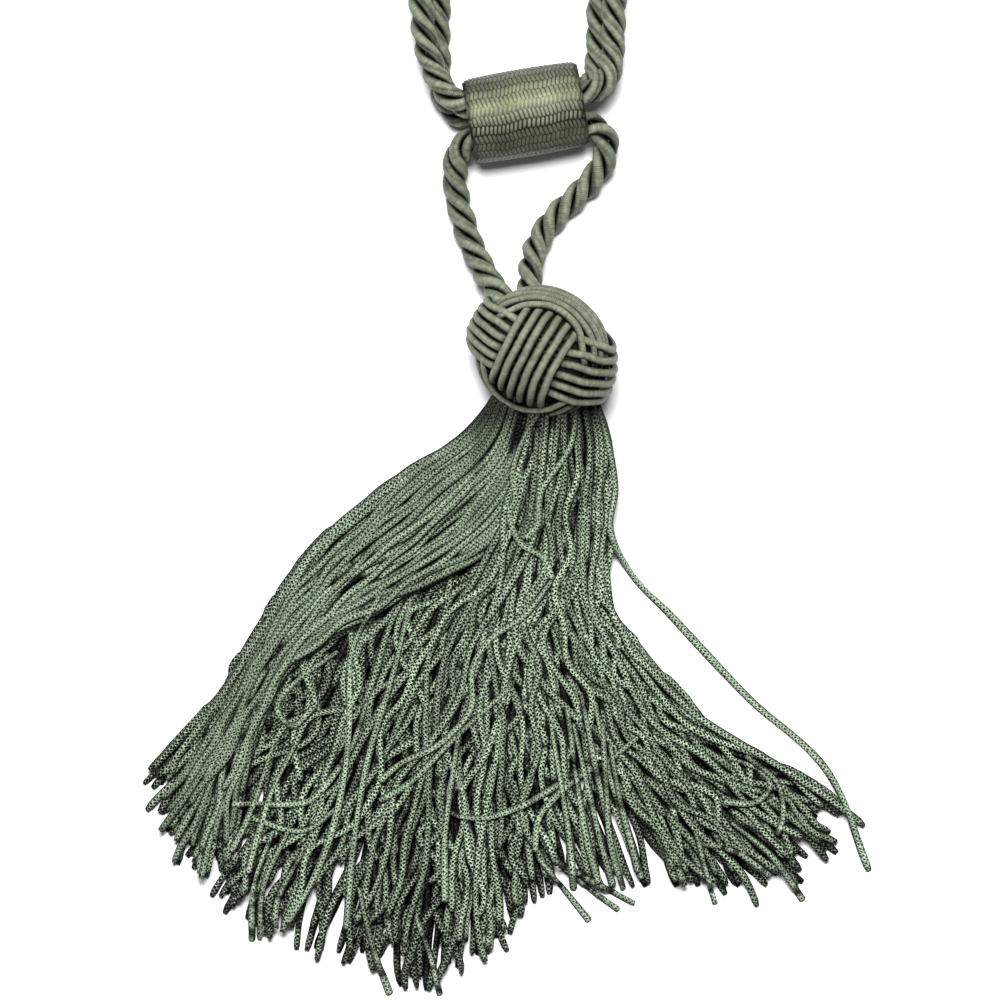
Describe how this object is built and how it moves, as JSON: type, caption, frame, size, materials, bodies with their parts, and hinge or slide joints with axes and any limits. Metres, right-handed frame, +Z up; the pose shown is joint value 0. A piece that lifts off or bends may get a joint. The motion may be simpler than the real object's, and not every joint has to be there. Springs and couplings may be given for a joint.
{
  "type": "curtain tieback tassel",
  "caption": "Curtain tieback: a chainette fringe tassel under a woven-cord knot, hung by a twisted rope loop through a covered slider with a doubled embrace rope.",
  "frame": {"origin": "middle of the object's footprint on the surface it lies on, without its two ropes", "axes": "+Z up from the surface, +Y from the hem of the skirt towards the embrace rope, +X to the right when seen from above"},
  "size_m": [0.2049, 0.4308, 0.0372],
  "materials": {
    "yarn": "knitted chainette yarn, grey-green, soft sheen",
    "knot_cord": "wrapped cord, olive green, satin sheen",
    "slider_cover": "plaited satin thread, olive green",
    "rope": "twisted rope of wrapped cords, olive green, satin sheen"
  },
  "bodies": {
    "root": {"skirt": "yarn", "knot": "knot_cord", "slider": "slider_cover", "tassel_cord": "rope", "embrace_cord": "rope"}
  },
  "joints": []
}
